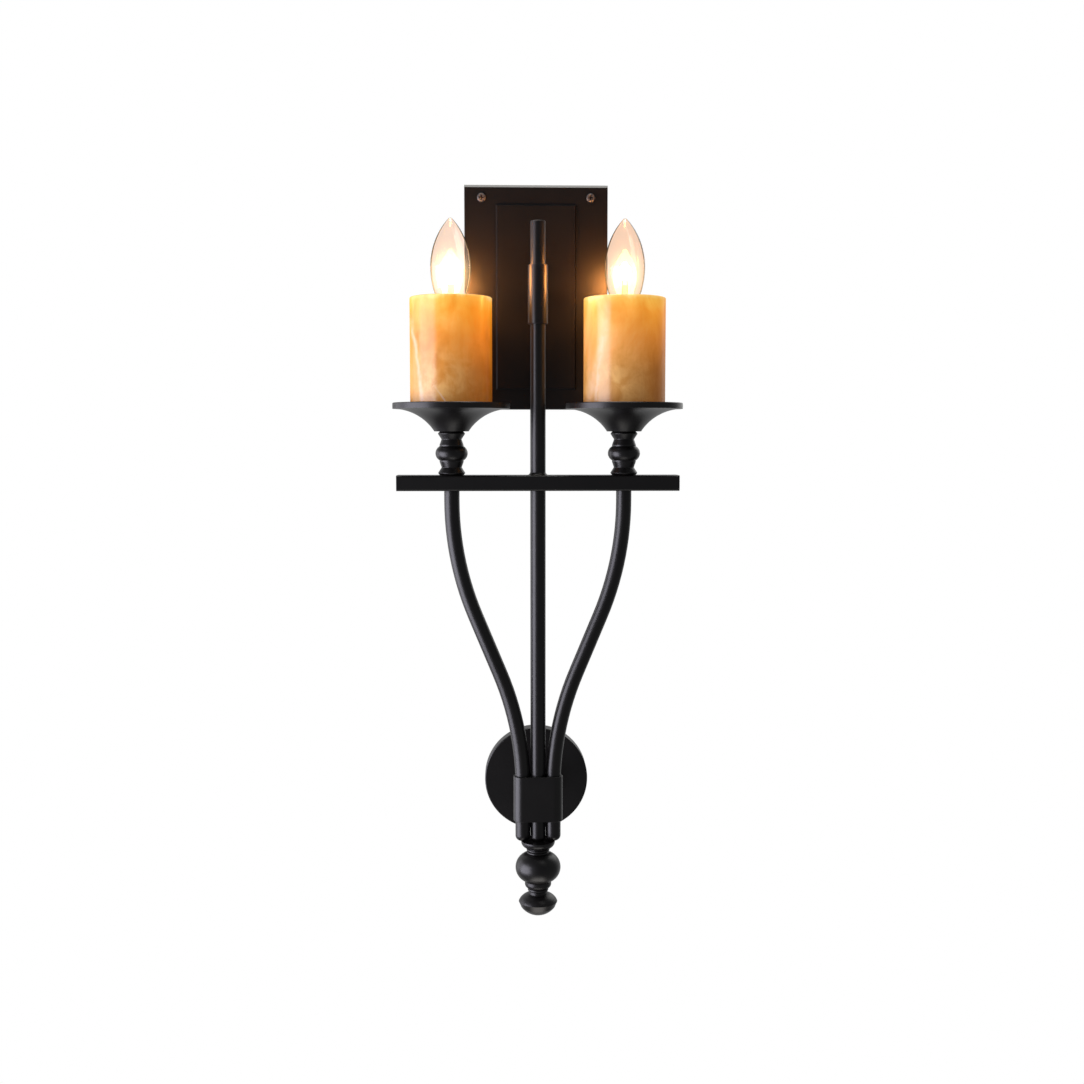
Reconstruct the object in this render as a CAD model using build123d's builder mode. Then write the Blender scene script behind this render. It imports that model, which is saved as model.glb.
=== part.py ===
from build123d import *
import os
from math import acos, atan2, cos, degrees, radians, sin, sqrt, tan

# Two-light candle wall sconce, in millimetres. X is to the right seen from the room, +Y goes
# into the wall and +Z is up. The origin is the centre of the back plate, on the wall plane.

os.makedirs("parts", exist_ok=True)

# Layout
rod_standoff = 80.0         # wall to the plane that holds the rods and both candles
candle_spacing = 151.4      # between the two candle axes
rod_top = 59.0              # heights, measured from the middle of the back plate
sleeve_middle = -3.7
bar_top = -160.5
clamp_top = -429.5

# Fits, each on the radius or on one side
slip_fit = 0.1              # one piece pushed into another
thread_fit = 0.05           # a screw thread in its hole
bulb_fit = 0.3              # lamp cap in its screw shell
candle_fit = 0.4            # candle sleeve over the ring on its dish

# Back plate, a pressed steel pan with a raised panel
plate_width = 131.0
plate_height = 203.6
plate_depth = 18.0
plate_sheet = 1.5
plate_edge_radius = 0.8
top_bevel = 2.4
panel_width = 73.6
panel_height = 168.0
panel_rise = 2.6
panel_draft = 28.0
screw_inset_x = 15.7
screw_inset_z = 11.8

# Wall screws
screw_diameter = 4.0
screw_shank_diameter = 3.4  # plain shank, thinner than the rolled thread
screw_shank_length = 6.0
screw_hole_diameter = 5.0
screw_reach = 27.0          # past the wall plane
screw_head_diameter = 8.0
screw_head_height = 2.4
screw_head_dome = 1.4
screw_point = 1.4
recess_span = 4.4
recess_width = 1.1
recess_depth = 1.3

# Arm from the plate to the sleeve on the centre rod
arm_diameter = 12.7
arm_thread_diameter = 10.0
cable_bore = 7.0
washer_diameter = 20.0
washer_thickness = 1.2
nut_flats = 14.0
nut_height = 4.0
thread_past_nut = 1.5

# Rods, sleeve and cross bar
rod_diameter = 13.5
rod_wall = 1.6
rod_end_round = 4.8
rod_below_clamp = 18.5
rod_gap = 0.05              # between neighbouring rods in the clamp
sleeve_diameter = 17.5
sleeve_length = 50.8
sleeve_chamfer = 0.2
plug_head = 1.5
plug_head_chamfer = 0.2
plug_length = 10.0
plug_foot = 5.0             # rounded foot of the lower plug
plug_foot_round = 3.5
bar_overhang = 47.8         # past the candle axis at each end
bar_depth = 25.0
bar_height = 13.6
bar_wall = 1.5
bar_corner = 2.0
bar_cap_thickness = 1.2
bar_cap_plug = 6.0
side_hole_diameter = 6.0
weld_leg = 3.2
tenon_diameter = 9.0
tenon_past_wall = 1.5

# Bends of the side rods
bend_lead = 8.9             # straight below the bar
bend_straight = 55.7        # straight run between the two bends
bend_in_clamp = 9.5         # how far the lower bend runs into the clamp

# Clamp, wall disc and the post between them
clamp_height = 41.0
clamp_wall = 1.5
clamp_fit = 0.25
clamp_chamfer = 0.4
disc_diameter = 97.0
disc_depth = 15.0
disc_wall = 2.0
disc_edge_radius = 1.2
post_diameter = 14.0
disc_screw_diameter = 6.0
disc_screw_length = 18.0
disc_screw_head_diameter = 11.5
disc_screw_head_height = 4.0
disc_screw_socket = 5.0
disc_screw_socket_depth = 2.2

# Finial under the rods
stud_diameter = 6.0
stud_in_rod = 14.0
stud_in_finial = 22.0
bowl_radius = 15.2
bowl_lip = 0.8
bowl_neck_radius = 9.4
bowl_neck_height = 0.6
finial_beads = 2
finial_bead_height = 2.3
finial_bead_bulge = 0.95
ball_radius = 20.3
ball_height = 25.5
ball_end_radius = 10.6
collar_radius = 11.9
collar_lip = 2.6
waist_radius = 8.2
waist_bead_height = 3.0
waist_bead_bulge = 1.1
waist_neck = 2.6
knob_radius = 17.4
knob_shoulder = 6.8         # from the waist down to the knob's widest place
knob_shoulder_curve = 11.6
knob_rim_drop = 5.0         # from the widest place down to the cap's edge
knob_cap_radius = 15.2
knob_cap_height = 7.5

# Turned stems that carry the dishes
stem_height = 38.2
stem_ball_radius = 14.1
stem_ball_height = 12.4
stem_step_radius = 10.5
stem_step_height = 1.2
stem_neck_radius = 8.8
stem_ring_radius = 12.0
stem_ring_drop = 1.9        # from the stem's end to its ring's widest place
stem_end_radius = 10.4
stem_corner = 0.7

# Dishes
dish_radius = 51.3
dish_height = 24.9
dish_foot_radius = 15.0
dish_rim_height = 5.2
dish_rim_width = 2.6
dish_edge_chamfer = 0.6
tray_depth = 3.0
ring_height = 2.0
ring_width = 2.5

# Candle sleeves of onyx
candle_diameter = 71.5
candle_wall = 6.0
candle_height = 93.7
candle_edge_chamfer = 0.7

# Threaded tube through bar, stem and dish
nipple_diameter = 10.0
nipple_bore = 7.0
bar_nut_height = 3.0

# Lampholders for a small screw cap
holder_diameter = 26.0
holder_wall = 2.0
holder_height = 78.0
holder_base = 5.0
holder_ledge = 1.6
insert_height = 36.0
insert_clearance = 0.2
shell_height = 22.0
shell_sheet = 0.5
shell_inset = 0.8           # shell's top edge below the holder's top
contact_pocket_radius = 6.0
contact_pocket_depth = 3.6
contact_sheet = 0.6
contact_width = 4.0
contact_foot = 9.0
wire_hole_diameter = 2.2
wire_hole_offset = 3.4

# Candle lamps
bulb_radius = 17.5
bulb_belly_height = 34.9    # from the cap's rim to the widest place
bulb_tip_height = 76.6      # from the cap's rim to the tip
bulb_tip_radius = 2.6
bulb_lower_radius = 75.0
bulb_shoulder_radius = 16.0
bulb_shoulder_start = 16.0  # degrees from the belly
bulb_neck_bend = 5.0
bulb_neck_radius = 6.4
bulb_neck_in_cap = 2.8
glass_wall = 0.8
cap_radius = 6.95
cap_sheet = 0.35
cap_length = 19.0
cap_above_holder = 3.4
insulator_plug = 1.5
insulator_height = 5.0
insulator_end_radius = 3.4
cap_contact_radius = 2.6
cap_contact_height = 1.2
cap_contact_pin = 0.9
cap_contact_pin_length = 1.6
mount_flare_height = 2.0
mount_throat_height = 11.0
mount_throat_radius = 2.6
mount_height = 22.0
lead_radius = 0.3
lead_spread = 2.0
lead_length = 5.0
filament_radius = 0.45
filament_rise = 16.0
filament_half_width = 5.5
filament_lead_in = 3.5
filament_bend = 1.4

# Places that follow from the sizes above
candle_x = candle_spacing / 2
rod_radius = rod_diameter / 2
rod_bore_radius = rod_radius - rod_wall
rod_pitch = rod_diameter + rod_gap
bar_bottom = bar_top - bar_height
bar_middle = bar_top - bar_height / 2
panel_face = plate_depth + panel_rise
panel_back = panel_face - plate_sheet
screw_pitch_x = plate_width - 2 * screw_inset_x
screw_pitch_z = plate_height - 2 * screw_inset_z
clamp_middle = clamp_top - clamp_height / 2
rod_end = clamp_top - clamp_height - rod_below_clamp
clamp_depth = rod_diameter + 2 * clamp_fit + 2 * clamp_wall
clamp_width = 2 * rod_pitch + clamp_depth
clamp_back = rod_standoff - clamp_depth / 2
rod_face = Plane.XZ.offset(rod_standoff)


def keep(piece, label):
    piece.part.label = label
    export_step(piece.part, f"parts/{label}.step")


def level(x, z):
    # A flat plane at height z, centred on the vertical axis at x
    return Plane(origin=(x, -rod_standoff, z))


def upright(x, z):
    # A plane through the vertical axis at x for turned profiles: radius across, height up from z
    return Plane(origin=(x, -rod_standoff, z), x_dir=(1, 0, 0), z_dir=(0, -1, 0))


def spindle(x):
    return Axis((x, -rod_standoff, 0), (0, 0, 1))


def hex_nut(label, seat, height, bore_radius):
    with BuildPart() as nut:
        with BuildSketch(seat):
            RegularPolygon(nut_flats / 2, side_count=6, major_radius=False)
            Circle(bore_radius, mode=Mode.SUBTRACT)
        extrude(amount=height)
    keep(nut, label)


# Back plate: the pan is drawn from the side, with the bevel along its top front edge
half_height = plate_height / 2
hollow_half_height = half_height - plate_sheet
hollow_front = plate_depth - plate_sheet
hollow_bevel = top_bevel - plate_sheet * (2 - sqrt(2))
with BuildPart() as back_plate:
    with BuildSketch(Plane.YZ.offset(-plate_width / 2)):
        with BuildLine():
            Polyline(
                (0, -half_height),
                (0, half_height),
                (top_bevel - plate_depth, half_height),
                (-plate_depth, half_height - top_bevel),
                (-plate_depth, -half_height),
                close=True,
            )
        make_face()
    extrude(amount=plate_width)
    front_edges = back_plate.faces().sort_by(Axis.Y)[0].edges()
    fillet(front_edges.sort_by(Axis.Z)[:-1], radius=plate_edge_radius)
    with BuildSketch(Plane.XZ.offset(plate_depth)):
        Rectangle(panel_width, panel_height)
    extrude(amount=panel_rise, taper=panel_draft)
    with BuildSketch(Plane.YZ.offset(plate_sheet - plate_width / 2)):
        with BuildLine():
            Polyline(
                (0, -hollow_half_height),
                (0, hollow_half_height),
                (hollow_bevel - hollow_front, hollow_half_height),
                (-hollow_front, hollow_half_height - hollow_bevel),
                (-hollow_front, -hollow_half_height),
                close=True,
            )
        make_face()
    extrude(amount=plate_width - 2 * plate_sheet, mode=Mode.SUBTRACT)
    with BuildSketch(Plane.XZ.offset(hollow_front)):
        Rectangle(panel_width - 2 * plate_sheet, panel_height - 2 * plate_sheet)
    extrude(amount=panel_rise, taper=panel_draft, mode=Mode.SUBTRACT)
    with BuildSketch(Plane.XZ.offset(hollow_front)):
        with GridLocations(screw_pitch_x, screw_pitch_z, 2, 2):
            Circle(screw_hole_diameter / 2)
    extrude(amount=plate_sheet, mode=Mode.SUBTRACT)
    with BuildSketch(Plane.XZ.offset(panel_back)):
        Circle(arm_thread_diameter / 2 + slip_fit)
    extrude(amount=plate_sheet, mode=Mode.SUBTRACT)
keep(back_plate, "back_plate")

# Wall screws: four pan heads with a cross recess
with BuildPart() as plate_screws:
    with BuildSketch(Plane.XZ.offset(plate_depth)):
        with GridLocations(screw_pitch_x, screw_pitch_z, 2, 2):
            Circle(screw_head_diameter / 2)
    extrude(amount=screw_head_height)
    fillet(plate_screws.edges().group_by(Axis.Y)[0], radius=screw_head_dome)
    with BuildSketch(Plane.XZ.offset(plate_depth)):
        with GridLocations(screw_pitch_x, screw_pitch_z, 2, 2):
            Circle(screw_shank_diameter / 2)
    extrude(amount=-screw_shank_length)
    with BuildSketch(Plane.XZ.offset(plate_depth - screw_shank_length)):
        with GridLocations(screw_pitch_x, screw_pitch_z, 2, 2):
            Circle(screw_diameter / 2)
    extrude(amount=-(plate_depth - screw_shank_length + screw_reach))
    chamfer(plate_screws.edges().group_by(Axis.Y)[-1], length=screw_point)
    with BuildSketch(Plane.XZ.offset(plate_depth + screw_head_height)):
        with GridLocations(screw_pitch_x, screw_pitch_z, 2, 2):
            Rectangle(recess_span, recess_width)
            Rectangle(recess_width, recess_span)
    extrude(amount=-recess_depth, mode=Mode.SUBTRACT)
keep(plate_screws, "plate_screws")

# Support arm: a tube with a saddle end against the sleeve and a threaded end through the plate
arm_thread_length = plate_sheet + washer_thickness + nut_height + thread_past_nut
with BuildPart() as support_arm:
    with BuildSketch(Plane.XZ.offset(panel_face)):
        Circle(arm_diameter / 2)
    extrude(amount=rod_standoff - panel_face)
    with BuildSketch(level(0, -arm_diameter)):
        Circle(sleeve_diameter / 2)
    extrude(amount=2 * arm_diameter, mode=Mode.SUBTRACT)
    with BuildSketch(Plane.XZ.offset(panel_face)):
        Circle(arm_thread_diameter / 2)
    extrude(amount=-arm_thread_length)
    with BuildSketch(Plane.XZ.offset(panel_face - arm_thread_length)):
        Circle(cable_bore / 2)
    extrude(amount=rod_standoff, mode=Mode.SUBTRACT)
keep(support_arm, "support_arm")

with BuildPart() as arm_washer:
    with BuildSketch(Plane.XZ.offset(panel_back)):
        Circle(washer_diameter / 2)
        Circle(arm_thread_diameter / 2 + slip_fit, mode=Mode.SUBTRACT)
    extrude(amount=-washer_thickness)
keep(arm_washer, "arm_washer")

nut_seat = Plane.XZ.offset(panel_back - washer_thickness - nut_height)
hex_nut("arm_nut", nut_seat, nut_height, arm_thread_diameter / 2 + thread_fit)

# Sleeve on the centre rod, with the cable hole towards the arm
with BuildPart() as rod_sleeve:
    with BuildSketch(level(0, sleeve_middle - sleeve_length / 2)):
        Circle(sleeve_diameter / 2)
    extrude(amount=sleeve_length)
    chamfer(rod_sleeve.edges().filter_by(GeomType.CIRCLE), length=sleeve_chamfer)
    with BuildSketch(level(0, sleeve_middle - sleeve_length / 2)):
        Circle(rod_radius + slip_fit)
    extrude(amount=sleeve_length, mode=Mode.SUBTRACT)
    with BuildSketch(rod_face):
        Circle(cable_bore / 2)
    extrude(amount=-sleeve_diameter, mode=Mode.SUBTRACT)
keep(rod_sleeve, "rod_sleeve")

# Centre rod: a tube that carries the cable from the arm down to the bar
with BuildPart() as centre_rod:
    with BuildSketch(level(0, rod_end + plug_foot)):
        Circle(rod_radius)
        Circle(rod_bore_radius, mode=Mode.SUBTRACT)
    extrude(amount=rod_top - plug_head - rod_end - plug_foot)
    with BuildSketch(rod_face):
        Circle(cable_bore / 2)
    extrude(amount=-rod_diameter, mode=Mode.SUBTRACT)
    with BuildSketch(Plane.YZ):
        with Locations((-rod_standoff, bar_middle)):
            Circle(side_hole_diameter / 2)
    extrude(amount=rod_diameter, both=True, mode=Mode.SUBTRACT)
keep(centre_rod, "centre_rod")

with BuildPart() as rod_top_plug:
    with BuildSketch(level(0, rod_top)):
        Circle(rod_radius)
    extrude(amount=-plug_head)
    chamfer(rod_top_plug.edges().group_by(Axis.Z)[-1], length=plug_head_chamfer)
    with BuildSketch(level(0, rod_top - plug_head)):
        Circle(rod_bore_radius - slip_fit)
    extrude(amount=-plug_length)
keep(rod_top_plug, "rod_top_plug")

with BuildPart() as rod_bottom_plug:
    with BuildSketch(level(0, rod_end)):
        Circle(rod_radius)
    extrude(amount=plug_foot)
    fillet(rod_bottom_plug.edges().group_by(Axis.Z)[0], radius=plug_foot_round)
    with BuildSketch(level(0, rod_end + plug_foot)):
        Circle(rod_bore_radius - slip_fit)
    extrude(amount=plug_length)
    with BuildSketch(level(0, rod_end)):
        Circle(stud_diameter / 2 + thread_fit)
    extrude(amount=plug_foot + plug_length, mode=Mode.SUBTRACT)
keep(rod_bottom_plug, "rod_bottom_plug")

# Cross bar: a rectangular tube with the centre rod through it and a weld fillet round the rod
tube_half = candle_x + bar_overhang - bar_cap_thickness
with BuildPart() as cross_bar:
    with BuildSketch(Plane.YZ.offset(-tube_half)):
        with Locations((-rod_standoff, bar_middle)):
            RectangleRounded(bar_depth, bar_height, bar_corner)
            Rectangle(bar_depth - 2 * bar_wall, bar_height - 2 * bar_wall, mode=Mode.SUBTRACT)
    extrude(amount=2 * tube_half)
    with BuildSketch(upright(0, bar_top)):
        with BuildLine():
            Line((rod_radius, 0), (rod_radius + weld_leg, 0))
            CenterArc((rod_radius + weld_leg, weld_leg), weld_leg, 180, 90)
            Line((rod_radius, weld_leg), (rod_radius, 0))
        make_face()
    revolve(axis=spindle(0))
    with BuildSketch(level(0, bar_bottom)):
        Circle(rod_radius + slip_fit)
    extrude(amount=bar_height + weld_leg, mode=Mode.SUBTRACT)
    with BuildSketch(level(0, bar_top - bar_wall)):
        with GridLocations(candle_spacing, 1, 2, 1):
            Circle(nipple_diameter / 2 + slip_fit)
    extrude(amount=bar_wall, mode=Mode.SUBTRACT)
    with BuildSketch(level(0, bar_bottom)):
        with GridLocations(candle_spacing, 1, 2, 1):
            Circle(tenon_diameter / 2 + slip_fit)
    extrude(amount=bar_wall, mode=Mode.SUBTRACT)
keep(cross_bar, "cross_bar")

# Clamp: an obround band round the three rods
with BuildPart() as rod_clamp:
    with BuildSketch(level(0, clamp_top)):
        SlotOverall(clamp_width, clamp_depth)
    extrude(amount=-clamp_height)
    chamfer(rod_clamp.edges().filter_by(Plane.XY), length=clamp_chamfer)
    with BuildSketch(level(0, clamp_top)):
        SlotOverall(clamp_width - 2 * clamp_wall, clamp_depth - 2 * clamp_wall)
    extrude(amount=-clamp_height, mode=Mode.SUBTRACT)
keep(rod_clamp, "rod_clamp")

# Wall disc: a shallow cup against the wall, level with the clamp
disc_front = Plane(origin=(0, -disc_depth, clamp_middle), x_dir=(1, 0, 0), z_dir=(0, -1, 0))
with BuildPart() as wall_disc:
    with BuildSketch(disc_front):
        Circle(disc_diameter / 2)
    extrude(amount=-disc_depth)
    fillet(wall_disc.edges().group_by(Axis.Y)[0], radius=disc_edge_radius)
    with BuildSketch(disc_front.offset(-disc_wall)):
        Circle(disc_diameter / 2 - disc_wall)
    extrude(amount=-disc_depth, mode=Mode.SUBTRACT)
    with BuildSketch(disc_front):
        Circle(disc_screw_diameter / 2 + slip_fit)
    extrude(amount=-disc_wall, mode=Mode.SUBTRACT)
keep(wall_disc, "wall_disc")

# Post between the disc and the clamp's flat back, tapped for the disc screw
with BuildPart() as standoff_post:
    with BuildSketch(disc_front):
        Circle(post_diameter / 2)
    extrude(amount=clamp_back - disc_depth)
    with BuildSketch(disc_front):
        Circle(disc_screw_diameter / 2 + thread_fit)
    extrude(amount=disc_screw_length, mode=Mode.SUBTRACT)
keep(standoff_post, "standoff_post")

with BuildPart() as disc_screw:
    with BuildSketch(disc_front.offset(-disc_wall)):
        Circle(disc_screw_head_diameter / 2)
    extrude(amount=-disc_screw_head_height)
    with BuildSketch(disc_front.offset(-disc_wall)):
        Circle(disc_screw_diameter / 2)
    extrude(amount=disc_screw_length)
    with BuildSketch(disc_front.offset(-disc_wall - disc_screw_head_height)):
        RegularPolygon(disc_screw_socket / 2, side_count=6, major_radius=False)
    extrude(amount=disc_screw_socket_depth, mode=Mode.SUBTRACT)
keep(disc_screw, "disc_screw")

# Finial: a bowl under the rod ends, then a turned drop with a ball and a knob, on one stud
bowl_curve = bowl_radius - bowl_neck_radius
bowl_height = bowl_lip + bowl_curve + bowl_neck_height
with BuildPart() as finial_bowl:
    with BuildSketch(upright(0, rod_end)):
        with BuildLine():
            Polyline((0, 0), (bowl_radius, 0), (bowl_radius, -bowl_lip))
            CenterArc((bowl_neck_radius, -bowl_lip), bowl_curve, 0, -90)
            Polyline(
                (bowl_neck_radius, -bowl_lip - bowl_curve),
                (bowl_neck_radius, -bowl_height),
                (0, -bowl_height),
                (0, 0),
            )
        make_face()
    revolve(axis=spindle(0))
    with BuildSketch(level(0, rod_end)):
        Circle(stud_diameter / 2 + slip_fit)
    extrude(amount=-bowl_height, mode=Mode.SUBTRACT)
keep(finial_bowl, "finial_bowl")

finial_top = rod_end - bowl_height
ball_top = -finial_beads * finial_bead_height
ball_bottom = ball_top - ball_height
collar_curve = collar_radius - waist_radius
collar_edge = ball_bottom - collar_lip
waist_top = collar_edge - collar_curve
waist_bead_bottom = waist_top - waist_bead_height
waist_bottom = waist_bead_bottom - waist_neck
knob_widest = waist_bottom - knob_shoulder
knob_cap_top = knob_widest - knob_rim_drop
knob_bottom = knob_cap_top - knob_cap_height
cap_curve = (knob_cap_radius**2 + knob_cap_height**2) / (2 * knob_cap_height)
cap_angle = 90 + degrees(atan2(knob_cap_height - cap_curve, knob_cap_radius))
with BuildPart() as finial:
    with BuildSketch(upright(0, finial_top)):
        with BuildLine():
            Line((0, 0), (bowl_neck_radius, 0))
            for bead in range(finial_beads):
                bead_top = -bead * finial_bead_height
                ThreePointArc(
                    (bowl_neck_radius, bead_top),
                    (bowl_neck_radius + finial_bead_bulge, bead_top - finial_bead_height / 2),
                    (bowl_neck_radius, bead_top - finial_bead_height),
                )
            Line((bowl_neck_radius, ball_top), (ball_end_radius, ball_top))
            ThreePointArc(
                (ball_end_radius, ball_top),
                (ball_radius, (ball_top + ball_bottom) / 2),
                (ball_end_radius, ball_bottom),
            )
            Polyline(
                (ball_end_radius, ball_bottom),
                (collar_radius, ball_bottom),
                (collar_radius, collar_edge),
            )
            CenterArc((waist_radius, collar_edge), collar_curve, 0, -90)
            ThreePointArc(
                (waist_radius, waist_top),
                (waist_radius + waist_bead_bulge, waist_top - waist_bead_height / 2),
                (waist_radius, waist_bead_bottom),
            )
            Line((waist_radius, waist_bead_bottom), (waist_radius, waist_bottom))
            RadiusArc((waist_radius, waist_bottom), (knob_radius, knob_widest), knob_shoulder_curve)
            Line((knob_radius, knob_widest), (knob_cap_radius, knob_cap_top))
            CenterArc((0, knob_bottom + cap_curve), cap_curve, -90, cap_angle)
            Line((0, knob_bottom), (0, 0))
        make_face()
    revolve(axis=spindle(0))
    with BuildSketch(level(0, finial_top)):
        Circle(stud_diameter / 2 + thread_fit)
    extrude(amount=-stud_in_finial, mode=Mode.SUBTRACT)
keep(finial, "finial")

with BuildPart() as finial_stud:
    with BuildSketch(level(0, rod_end + stud_in_rod)):
        Circle(stud_diameter / 2)
    extrude(amount=-(stud_in_rod + bowl_height + stud_in_finial))
keep(finial_stud, "finial_stud")

# Side rods: two equal bends and a straight run, from the bar's underside to the clamp.
# The bends' radius and angle follow from how far the rod travels sideways and down.
travel_x = candle_x - rod_pitch
travel_z = (bar_bottom - bend_lead) - (clamp_top - bend_in_clamp)
both_radii = (travel_x**2 + travel_z**2 - bend_straight**2) / (2 * travel_x)
bend_radius = both_radii / 2
bend_angle = atan2(travel_z, both_radii - travel_x) - atan2(bend_straight, both_radii)
bend_tangent = bend_radius * tan(bend_angle / 2)

# Heights of one candle's pieces, from the bar upwards
stem_top = bar_top + stem_height
dish_top = stem_top + dish_height
tray_floor = dish_top - tray_depth
holder_bottom = tray_floor + nut_height
holder_top = holder_bottom + holder_height
nipple_bottom = bar_top - bar_wall - bar_nut_height - thread_past_nut
candle_bore_radius = candle_diameter / 2 - candle_wall
ring_radius = candle_bore_radius - candle_fit
insert_radius = holder_diameter / 2 - holder_wall - insert_clearance
shell_radius = cap_radius + bulb_fit
shell_top = holder_top - shell_inset
shell_bottom = shell_top - shell_height
pocket_floor = shell_bottom - contact_pocket_depth
insert_bottom = holder_top - insert_height

# Heights of the lamp, from the cap's rim
cap_rim = holder_top + cap_above_holder
cap_bottom = cap_rim - cap_length
insulator_bottom = cap_bottom - insulator_height
contact_bottom = insulator_bottom - cap_contact_height


def envelope(inset):
    # Arcs of the lamp's glass, set in by the wall for its inside, as centre, radius, angles
    upper = ((bulb_tip_height - bulb_belly_height - bulb_tip_radius) ** 2 + bulb_radius**2
             - bulb_tip_radius**2) / (2 * (bulb_radius - bulb_tip_radius))
    upper_x = bulb_radius - upper
    tip_y = bulb_tip_height - bulb_tip_radius
    tip_angle = degrees(atan2(tip_y - bulb_belly_height, -upper_x))
    lower_x = bulb_radius - bulb_lower_radius
    start = radians(bulb_shoulder_start)
    shoulder_reach = bulb_lower_radius - bulb_shoulder_radius
    shoulder_x = lower_x + shoulder_reach * cos(start)
    shoulder_y = bulb_belly_height - shoulder_reach * sin(start)
    neck_reach = bulb_shoulder_radius + bulb_neck_bend
    turn = acos((bulb_neck_radius + bulb_neck_bend - shoulder_x) / neck_reach)
    neck_x = shoulder_x + neck_reach * cos(turn)
    neck_y = shoulder_y - neck_reach * sin(turn)
    turned = degrees(turn)
    return [
        ((0, tip_y), bulb_tip_radius - inset, 90, tip_angle - 90),
        ((upper_x, bulb_belly_height), upper - inset, tip_angle, -tip_angle),
        ((lower_x, bulb_belly_height), bulb_lower_radius - inset, 0, -bulb_shoulder_start),
        ((shoulder_x, shoulder_y), bulb_shoulder_radius - inset, -bulb_shoulder_start,
         bulb_shoulder_start - turned),
        ((neck_x, neck_y), bulb_neck_bend + inset, 180 - turned, turned),
    ]


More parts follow.
